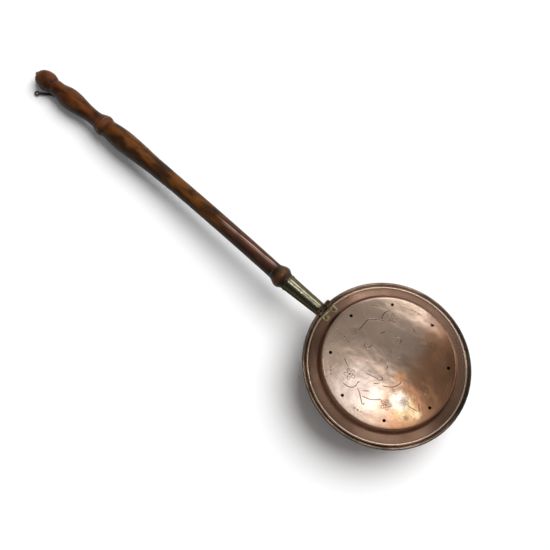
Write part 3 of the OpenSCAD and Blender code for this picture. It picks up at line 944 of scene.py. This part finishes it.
# %% The pan
rim_curl = 2.0 * MM
rim_c = Vector((rim_r - rim_curl - sheet, pan_h - rim_curl - sheet))
lip_turn = 135.0
lip_w = 10.4 * MM
lip_slope = 45
lip_top = rim_c + rim_curl * direction_of(lip_turn)
lip_foot = lip_top - lip_w * direction_of(lip_slope)
base_inset = 52.0 * MM
corner_r = 34.0 * MM
curl_end = -145.0
corner_c = Vector((rim_r - base_inset, corner_r))
to_lip = lip_foot - corner_c
side_angle = math.degrees(math.atan2(to_lip.y, to_lip.x) - math.acos(corner_r / to_lip.length))
side_foot = corner_c + corner_r * direction_of(side_angle)
lip_bend_r = 6.0 * MM
corner_steps = 14
roll_steps = 28
longest = 3.5 * MM
pan_path = divided(
    [Vector((0.0, 0.0))]
    + arc(corner_c, corner_r, -90, side_angle, corner_steps)
    + rounded(side_foot, lip_foot, lip_top, lip_bend_r)
    + arc(rim_c, rim_curl, lip_turn, curl_end, roll_steps),
    longest,
)
# The side's ends stay smooth, and the dents grow to their full depth over these lengths.
smooth_end = 8.0 * MM
grow_below_lip = 15.0 * MM
grow_above_floor = 10.0 * MM


def pan_dents(p):
    """Full dents on the side, none at the lip or where the base meets the floor."""
    below_lip = lip_foot.y - smooth_end - p.y
    above_floor = p.y - smooth_end
    if below_lip <= 0 or above_floor <= 0:
        return 0.0
    return min(1.0, below_lip / grow_below_lip, above_floor / grow_above_floor)


pan = sheet_outline("copper_pan", pan_path, sheet, pan_dents)
grow(pan, lathe, Steps=192, Dent_depth=0.5 * MM, Dent_size=0.035, Seed=2.0, Material=pan_finish)
place_piece(tidy(pan), "pan", "pan_copper", "pan_bowl")

# %% [markdown]
# ## The lid
#
# The lid is raised in the same way: a domed plate, a steep riser, a sloping band and an edge
# rolled round wire. Its plate is dented, and eight vents are drilled through it. The vents
# repeat, so Geometry Nodes puts a cutter on each marked point and subtracts them all at once.

# %% The lid
lid_curl = 1.7 * MM
lip_face = rim_c + (rim_curl + sheet) * direction_of(lip_turn)
lid_cx = lid_r - lid_curl - sheet
lid_seat = 0.3 * MM
lid_cz = lip_face.y + (lid_curl + sheet + lid_seat) * math.sqrt(2) - (lip_face.x - lid_cx)
lid_c = Vector((lid_cx, lid_cz))
band_turn = 145.0
band_slope = math.radians(14.0)
band_w = 16.6 * MM
riser_w = 6.4 * MM
plate_above_pan = 16.0 * MM
band_top = lid_c + lid_curl * direction_of(band_turn)
band_foot = band_top + band_w * Vector((-1.0, math.tan(band_slope)))
plate_edge = Vector((band_foot.x - riser_w, pan_h + plate_above_pan - sheet))
plate_r = plate_edge.x
dome_h = 7.0 * MM
dome_r = (plate_r ** 2 + dome_h ** 2) / (2 * dome_h)
dome_c = Vector((0.0, plate_edge.y + dome_h - dome_r))
edge_angle = math.degrees(math.asin(plate_r / dome_r))
plate_bend_r = 2.0 * MM
foot_bend_r = 3.0 * MM
dome_steps = 30
bend_steps = 6
dome = arc(dome_c, dome_r, 90, 90 - edge_angle, dome_steps)
lid_path = divided(
    dome[:-1]
    + rounded(dome[-2], plate_edge, band_foot, plate_bend_r, bend_steps)
    + rounded(plate_edge, band_foot, band_top, foot_bend_r, bend_steps)
    + arc(lid_c, lid_curl, band_turn, curl_end, roll_steps),
    longest,
)
roll_dents = 0.25
band_dents = 0.3
grow_inside_edge = 14.0 * MM


def lid_dents(p):
    """Full dents in the plate, small ones in its edge, on the band and in the rolled edge."""
    if p.x > band_top.x:
        return roll_dents
    inside_edge = plate_r - plate_bend_r - p.x
    return max(band_dents, min(1.0, inside_edge / grow_inside_edge))


lid = sheet_outline("copper_lid", lid_path, sheet, lid_dents)
grow(lid, lathe, Steps=256, Dent_depth=0.75 * MM, Dent_size=0.05, Seed=5.0, Material=lid_finish)
tidy(lid)

# %% The vents
VENT_ANGLES = (-9.5, 34, 77.5, 124, 171.5, 216.5, 262, 306.5)
vent_inset = 14.0 * MM
vent_d = 6.1 * MM
drill_len = 20 * MM
drill_sides = 24


def on_plate(distance, degrees):
    """A point on the plate's upper face, from its polar place."""
    rise = math.sqrt((dome_r + sheet) ** 2 - distance ** 2)
    return Vector((*(distance * direction_of(degrees)), dome_c.y + rise))


vent_marks = mesh_object("vent_marks", [on_plate(plate_r - vent_inset, a) for a in VENT_ANGLES])
PIERCE_INPUTS = {
    "Plate": "Geometry",
    "Marks": "Object",
    "Diameter": 0.006,
    "Material": "Material",
}
pierce, given = new_tree("pierce", "Geometry", PIERCE_INPUTS, ("Geometry",))
values = {"Vertices": drill_sides, "Radius": times(given["Diameter"], 0.5), "Depth": drill_len}
drill = add("GeometryNodeMeshCylinder", values)["Mesh"]
values = {"Points": held_by("Marks"), "Instance": drill}
drills = add("GeometryNodeInstanceOnPoints", values)[0]
values = {"Mesh 1": given["Plate"], "Mesh 2": drills}
holes = add("GeometryNodeMeshBoolean", values, operation="DIFFERENCE", solver="EXACT")
finish_shape(holes["Mesh"])
grow(lid, pierce, Marks=vent_marks, Diameter=vent_d, Material=lid_finish)
place_piece(tidy(lid), "lid", "lid_copper", "lid_shell")

# %% [markdown]
# ## Chased flowers and tendrils
#
# The plate is chased: lines, rings and dots are struck into the copper with small punches. Real
# grooves in the lid's mesh would need millions of faces, so the struck marks are thin closed
# strips of the same copper, with their flat backs just above the sheet. Each strip has a ridge,
# a dark groove and a ridge. A tendril is written as a chaser would do it: a place to start, a
# heading, and then lengths with turns. Rings and dots are instances of one small mesh each. A
# ray cast down onto the dented lid lays every point on the sheet.

# %% Tendrils, flowers and dots
# Start x, start y in mm, heading in degrees, then lengths in mm with turns in degrees.
TENDRILS = (
    (79, -5, -88, ((27, 0), (4, -50), (28, -10))),
    (92, -37, -145, ((11, -35), (11, 45))),
    (61, -51, -55, ((10, -20), (10, -35), (8, -50))),
    (92, 20, 148, ((9, 15), (8, 40))),
    (110, 18, 160, ((6, 20),)),
    (56, 6, 105, ((8, 60), (8, 80), (8, 60))),
    (45, -27, -120, ((6, 25), (7, -40))),
    (65, 53, 165, ((9, -15), (9, 20))),
    (37, 88, 172, ((11, 22), (9, 35), (7, 40), (5, 20), (6, -90))),
    (12, 78, 155, ((10, -8), (12, -4), (7, 0), (8, 200))),
    (-3, 83, 185, ((10, 15), (14, 20), (9, 20), (5, -120))),
    (3, 76, 210, ((14, 15),)),
    (20, 48, 195, ((8, 0), (10, 8), (10, -30), (9, 120), (8, 120))),
    (-3, 52, 190, ((12, 60),)),
    (-18, 45, 205, ((12, 10), (12, 25), (12, 20), (5, 100))),
    (-73, 41, 188, ((22, 8),)),
    (-88, 24, 120, ((10, 10),)),
    (-91, 28, 130, ((10, 10),)),
    (22, -40, -100, ((9, -60), (9, -80), (9, -80))),
    (9, -74, -100, ((5, -80), (5, -60))),
    (-19, -66, -170, ((12, 30), (12, 50))),
    (12, 6, 70, ((9, 30),)),
    (16, -4, 10, ((9, -30),)),
    (8, -12, -60, ((9, 25),)),
    (-3, -10, -110, ((9, -25),)),
    (-8, 0, 170, ((9, 30),)),
    (-2, 9, 120, ((9, -20),)),
)
# Centre x, centre y in mm, turn in degrees and size.
FLOWERS = (
    (48, -66, 10, 0.9),
    (39, 68, 40, 1.0),
    (-45, 67, 0, 0.95),
    (-80, -1, 25, 0.8),
    (-66, 39, 50, 0.85),
    (82, 2, 15, 0.7),
    (-31, -73, 30, 0.8),
    (-87, 60, 20, 0.55),
)
# Each row of dots: where it starts and ends, in mm.
DOT_ROWS = (
    ((94, -58), (86, -65)),
    ((31, -105), (18, -108)),
    ((73, 81), (64, 90)),
    ((-7, 109), (-20, 106)),
    ((-104, -38), (-108, -27)),
)
PETALS = 5
# Sizes in mm: how far petals and the lines between them reach, and a punch's step.
petal_reach = 7.3
LINE_REACH = (2.5, 4.0, 5.5)
step = 1.5
# How large a dot is in a flower's middle and in a row.
middle_dot = 1.2
row_dot = 0.9


def drawn(x, y, angle, bends):
    """Points in mm along a stroke."""
    place = Vector((x, y))
    points = [place.copy()]
    for length, turn in bends:
        count = max(2, round(length / step))
        for _ in range(count):
            angle += turn / count
            place += length / count * direction_of(angle)
            points.append(place.copy())
    return points


strokes = [drawn(*tendril) for tendril in TENDRILS]
rings, dots = [], []
for x, y, turn, size in FLOWERS:
    centre = Vector((x, y))
    dots.append((centre, middle_dot * size))
    for petal in range(PETALS):
        angle = turn + 360 / PETALS * petal
        rings.append((centre + size * petal_reach * direction_of(angle), size))
        between = direction_of(angle + 180 / PETALS)
        strokes.append([centre + size * r * between for r in LINE_REACH])
for start, end in DOT_ROWS:
    dots += [(Vector(start).lerp(Vector(end), share), row_dot) for share in (0, 0.5, 1)]
print("strokes %d, rings %d, dots %d" % (len(strokes), len(rings), len(dots)))

# %% Strokes and marked points
# The strokes are struck harder towards this side of the plate.
FAR_SIDE = Vector((0.69, -0.72))
# How long a stroke's thin ends are, and where it is boldest, in mm.
thin_end = 4
boldest_at = 50
# A stroke's width: in the plate's middle, how much is added where it is boldest, and at its ends.
usual_width = 1.05
bolder_by = 0.45
end_width = 0.45


def marked_points(name, struck):
    """Loose points in the plane, each with the size of its mark."""
    places = [(p.x * MM, p.y * MM, 0.0) for p, _ in struck]
    return mesh_object(name, places, size=[size for _, size in struck])


def stroke_edges(name, lines):
    """All strokes as edges, thinner towards their ends."""
    vertices, edges, sizes = [], [], []
    for line in lines:
        first, last = len(vertices), len(line) - 1
        edges += [(first + i, first + i + 1) for i in range(last)]
        for i, p in enumerate(line):
            vertices.append((p.x * MM, p.y * MM, 0.0))
            boldness = max(-0.2, min(1.0, p.dot(FAR_SIDE) / boldest_at))
            from_end = min(1.0, min(i, last - i) * step / thin_end)
            taper = end_width + (1 - end_width) * from_end
            sizes.append((usual_width + bolder_by * boldness) * taper)
    return mesh_object(name, vertices, edges, size=sizes)


stroke_marks = stroke_edges("strokes", strokes)
ring_marks = marked_points("ring_marks", rings)
dot_marks = marked_points("dot_marks", dots)
print("stroke points:", len(stroke_marks.data.vertices))

# %% Punches
# Each section: distance from its middle and lift in mm, and how far it stands out.
LINE_HALF = ((-0.95, 0.0, 0.0), (-0.68, 0.065, 0.2), (-0.43, 0.03, -1.0))
LINE_SECTION = (*LINE_HALF, (0.0, 0.02, -1.0), *((-a, b, c) for a, b, c in LINE_HALF[::-1]))
RING_SECTION = (
    (3.5, 0.0, 0.0),
    (3.3, 0.06, 0.1),
    (3.0, 0.03, -1.0),
    (2.55, 0.02, -1.0),
    (2.38, 0.055, -0.2),
    (2.2, 0.06, 0.0),
    (0.9, 0.06, 0.0),
)
DOT_SECTION = ((1.7, 0, 0), (1.4, 0.12, 0.7), (1.05, 0.02, -1), (0.4, 0.02, -1))


def line_punch(name, section):
    """The closed section of a line."""
    vertices = [(across * MM, lift * MM, 0.0) for across, lift, _ in section]
    edges = [(i, (i + 1) % len(section)) for i in range(len(section))]
    return mesh_object(name, vertices, edges, raised=[high for _, _, high in section])


def round_punch(name, section, spokes):
    """A closed ring or dot: the section carried round its middle."""
    turns = [math.tau * k / spokes for k in range(spokes)]
    vertices = [
        (r * MM * math.cos(turn), r * MM * math.sin(turn), lift * MM)
        for turn in turns
        for r, lift, _ in section
    ]
    last = len(section) - 1
    firsts = list(range(0, len(vertices), len(section)))
    faces = [
        (a + i, a + i + 1, b + i + 1, b + i)
        for a, b in zip(firsts, firsts[1:] + firsts[:1])
        for i in range(last)
    ]
    faces += [tuple(a + last for a in firsts), tuple(firsts[::-1])]
    return mesh_object(name, vertices, faces=faces, raised=[p[2] for p in section] * spokes)


ring_sides = 14
dot_sides = 10
line_die = line_punch("line_die", LINE_SECTION)
ring_die = round_punch("ring_die", RING_SECTION, ring_sides)
dot_die = round_punch("dot_die", DOT_SECTION, dot_sides)
print("faces of a ring and a dot:", len(ring_die.data.polygons), len(dot_die.data.polygons))

# %% The chasing tree
CHASING_INPUTS = {
    "Strokes": "Geometry",
    "Line die": "Object",
    "Rings": "Object",
    "Ring die": "Object",
    "Dots": "Object",
    "Dot die": "Object",
    "Sheet": "Object",
    "Gap": 0.03 * MM,
    "Material": "Material",
}
high_above = 0.2
chasing, given = new_tree("chasing", "Geometry", CHASING_INPUTS, ("Geometry",))
mark_size = named("size")
lines = add("GeometryNodeMeshToCurve", {0: given["Strokes"]})[0]
upright = add("GeometryNodeSetCurveNormal", {0: lines}, mode="Z_UP")[0]
across = add("GeometryNodeMeshToCurve", {0: held_by("Line die")})[0]
values = {"Curve": upright, "Profile Curve": across, "Scale": mark_size, "Fill Caps": True}
struck = add("GeometryNodeJoinGeometry", {0: add("GeometryNodeCurveToMesh", values)[0]})[0]
for label in ("Ring", "Dot"):
    points, die = held_by(label + "s"), held_by(label + " die")
    values = {"Points": points, "Instance": die, "Scale": mark_size}
    stamped = add("GeometryNodeInstanceOnPoints", values)[0]
    tree.links.new(stamped, struck.node.inputs[0])
real = change("RealizeInstances", struck)
here = split(add("GeometryNodeInputPosition")[0])
values = {
    "Target Geometry": held_by("Sheet"),
    "Source Position": joined(here["X"], here["Y"], high_above),
    "Ray Direction": (0, 0, -1),
    "Ray Length": 1.0,
}
hit = add("GeometryNodeRaycast", values)["Hit Position"]
lift = plus(calc("ABSOLUTE", here["Z"]), given["Gap"])
laid_at = vector_calc("ADD", hit, joined(z=lift))
laid = change("SetPosition", real, Position=laid_at)
finish_shape(change("SetShadeSmooth", laid))

# %% The chased marks
dies = {"Line_die": line_die, "Ring_die": ring_die, "Dot_die": dot_die}
places = {"Rings": ring_marks, "Dots": dot_marks}
grow(stroke_marks, chasing, Sheet=lid, Material=lid_finish, **dies, **places)
stroke_marks.name = "chased_marks"
place_piece(tidy(stroke_marks), "lid", "lid_copper")

# %% [markdown]
# ## Socket and handle
#
# The socket is a tapered brass tube with a ring at its mouth. The handle was turned between
# centres: finial, neck, grip, beads and a long plain shaft. A turner works between marked
# places with a few kinds of curve, and the list below does the same: each line is a distance from
# the tip, a radius, and the kind of curve that leads there.

# %% The turned handle
# Each place: distance from the tip and radius in mm, and the curve that leads there.
TURNING = (
    (0, 3.0, "straight"),
    (1.5, 4.2, "swell"),
    (4.6, 4.0, "straight"),
    (30, 20.4, "round"),
    (49.5, 14.4, "fall"),
    (52.5, 16.0, "ogee"),
    (59, 16.0, "straight"),
    (92, 21.1, "ogee"),
    (155, 14.9, "ogee"),
    (162, 15.1, "straight"),
    (187, 21.3, "ogee"),
    (198.5, 18.3, "ogee"),
    (240, 21.6, "swell"),
    (335, 17.4, "ogee"),
    (385, 16.4, "straight"),
    (641, 15.8, "straight"),
    (660.5, 21.5, "ogee"),
    (675.9, 15.7, "ogee"),
)
# How far each curve has gone, at a share u of its length.
CURVES = {
    "straight": lambda u: u,
    "ogee": lambda u: (1 - math.cos(math.pi * u)) / 2,
    "swell": lambda u: math.sin(math.pi / 2 * u),
    "fall": lambda u: 1 - math.cos(math.pi / 2 * u),
    "round": lambda u: math.sqrt(1 - (1 - u) ** 2),
}
# The longest step along the handle in mm, on a straight stretch and on a curve.
long_step, short_step = 8, 1.6
socket_r1 = 12.6 * MM
socket_r2 = 15.9 * MM
tenon_r = socket_r2 - 1.5 * MM
tenon_taper = 2.5 * MM
tenon_end = 17 * MM

handle_points = [Vector((0.0, axis_len)), Vector((TURNING[0][1] * MM, axis_len))]
for (at, radius, _), (next_at, next_radius, kind) in zip(TURNING, TURNING[1:]):
    length = next_at - at
    straight = kind == "straight"
    steps = math.ceil(length / long_step) if straight else max(3, math.ceil(length / short_step))
    for i in range(1, steps + 1):
        r = radius + (next_radius - radius) * CURVES[kind](i / steps)
        handle_points.append(Vector((r * MM, axis_len - (at + length * i / steps) * MM)))
tenon = ((tenon_r, socket_len), (tenon_r - tenon_taper, tenon_end), (0, tenon_end))
handle_points += [Vector(p) for p in tenon]
outward = [Vector((1.0 if p.x > 0 else 0.0, 0.0)) for p in handle_points]
bead_reach = 16 * MM
bead_height = 1.6 * MM
standing = standing_out(handle_points, bead_reach, bead_height)
handle = outline_object("turned_wood", handle_points, outward, standing)
on_axis = {"Tilt": math.pi / 2 + handle_drop, "Place": (rim_r, 0.0, socket_z)}
bow = {"Bow": -8.0 * MM, "Bow_start": socket_len, "Bow_length": handle_len}
uneven = {"Dent_depth": 0.12 * MM, "Dent_size": 0.03}
grow(handle, lathe, Material=wood_finish, **uneven, **bow, **on_axis)
place_piece(tidy(handle, 50), "pan", "handle_wood", "turned_handle")

# %% The socket tube and its ring
shoulder = 2.0 * MM
tube_wall = 1.3 * MM
tube_edge = 0.3 * MM
tube_points = [
    Vector((socket_r1 - tube_wall, shoulder)),
    Vector((socket_r1 - tube_edge, shoulder)),
    Vector((socket_r1, shoulder + tube_edge)),
    Vector((socket_r2, socket_len)),
    Vector((socket_r2 - tube_wall, socket_len)),
]
tube_points = divided(tube_points + tube_points[:1], 4 * MM)[:-1]
tube = outline_object("socket_tube_brass", tube_points, [Vector((1, 0))] * len(tube_points))
dents = {"Dent_depth": 0.08 * MM, "Dent_size": 0.02}
grow(tube, lathe, Closed=True, Material=socket_finish, **dents, **on_axis)
place_piece(tidy(tube), "pan", "socket_brass", "socket_tube")

ring_len = 3.6 * MM
ring_t = 1.1 * MM
ring_c = Vector((socket_r2 + 0.05 * MM, socket_len - ring_len / 2))
ring_points = [
    Vector((socket_r2 + 0.02 * MM, socket_len)),
    Vector((socket_r2 - 0.1 * MM, socket_len - ring_len)),
]
half_round = arc(Vector((0, 0)), 1, -90, 90, 16)
ring_points += [ring_c + Vector((p.x * ring_t, p.y * ring_len / 2)) for p in half_round]
ring = outline_object("socket_ring_brass", ring_points, raised=[0.0] * 2 + [0.3] * len(half_round))
grow(ring, lathe, Closed=True, Material=socket_finish, **on_axis)
place_piece(tidy(ring), "pan", "socket_brass", "socket_ring")

# %% [markdown]
# ## Pieces that keep their CAD shape
#
# The flange, the hinge leaf, the two pins and the hanging link already have the right shape,
# but their edges are knife-sharp. A copy of each gets its edges rounded a little and marked as
# raised, so that the wear effect brightens them.

# %% Softened copies


def softened(node, name, width, material):
    """A copy of a CAD node with rounded, marked edges."""
    piece = shown(name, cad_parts[node].data.copy())
    work = bmesh.new()
    work.from_mesh(piece.data)
    bmesh.ops.remove_doubles(work, verts=work.verts, dist=0.01 * MM)
    flat_enough = math.radians(1)
    bmesh.ops.dissolve_limit(work, angle_limit=flat_enough, verts=work.verts, edges=work.edges)
    raised = work.verts.layers.float.new("raised")
    sharp = math.radians(35)
    between_faces = [e for e in work.edges if len(e.link_faces) == 2]
    edges = [e for e in between_faces if e.calc_face_angle() > sharp]
    shape = {"offset": width, "segments": 2, "profile": 0.5, "clamp_overlap": True}
    for face in bmesh.ops.bevel(work, geom=edges, affect="EDGES", **shape)["faces"]:
        for vert in face.verts:
            vert[raised] = 1.0
    bmesh.ops.triangulate(work, faces=[f for f in work.faces if len(f.verts) > 4])
    work.to_mesh(piece.data)
    work.free()
    piece.data.shade_smooth()
    piece.data.set_sharp_from_angle(angle=math.radians(40))
    piece.data.materials.clear()
    piece.data.materials.append(material)
    return piece


# Each copy: node, name, how far its edges are rounded in mm, finish, body and slot.
SOFTENED = (
    ("socket_flange", "flange_brass", 0.35, socket_finish, "pan", "socket_brass"),
    ("lid_hinge_leaf", "hinge_leaf_brass", 0.25, hinge_finish, "lid", "hinge_brass"),
    ("hanging_link", "hanging_link_iron", 0.35, iron_finish, "link", "dark_iron"),
    ("hanger_pin", "hanger_pin_iron", 0.3, iron_finish, "pan", "dark_iron"),
    ("hinge_pin", "hinge_pin_iron", 0.2, iron_finish, "pan", "dark_iron"),
)
for node, name, width, material, body, slot_name in SOFTENED:
    place_piece(softened(node, name, width * MM, material), body, slot_name, node)

# %% CAD nodes that only need a finish
FINISHES = {
    "pan_rim_wire": iron_finish,
    "lid_edge_wire": iron_finish,
    "flange_rivets": rivet_finish,
    "flange_rivet_burrs": rivet_finish,
    "leaf_rivet_burrs": rivet_finish,
    "leaf_rivets": hinge_finish,
    "socket_nails": iron_finish,
    "hanger_washer": iron_finish,
}
for node, material in FINISHES.items():
    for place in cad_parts[node].material_slots:
        place.material = material
print("CAD nodes kept:", sorted(FINISHES))

# %% [markdown]
# ## Last steps
#
# The punches and the marked points have done their work and go.

# %% The helpers go
for helper in (line_die, ring_die, dot_die, ring_marks, dot_marks, vent_marks):
    bpy.data.objects.remove(helper)
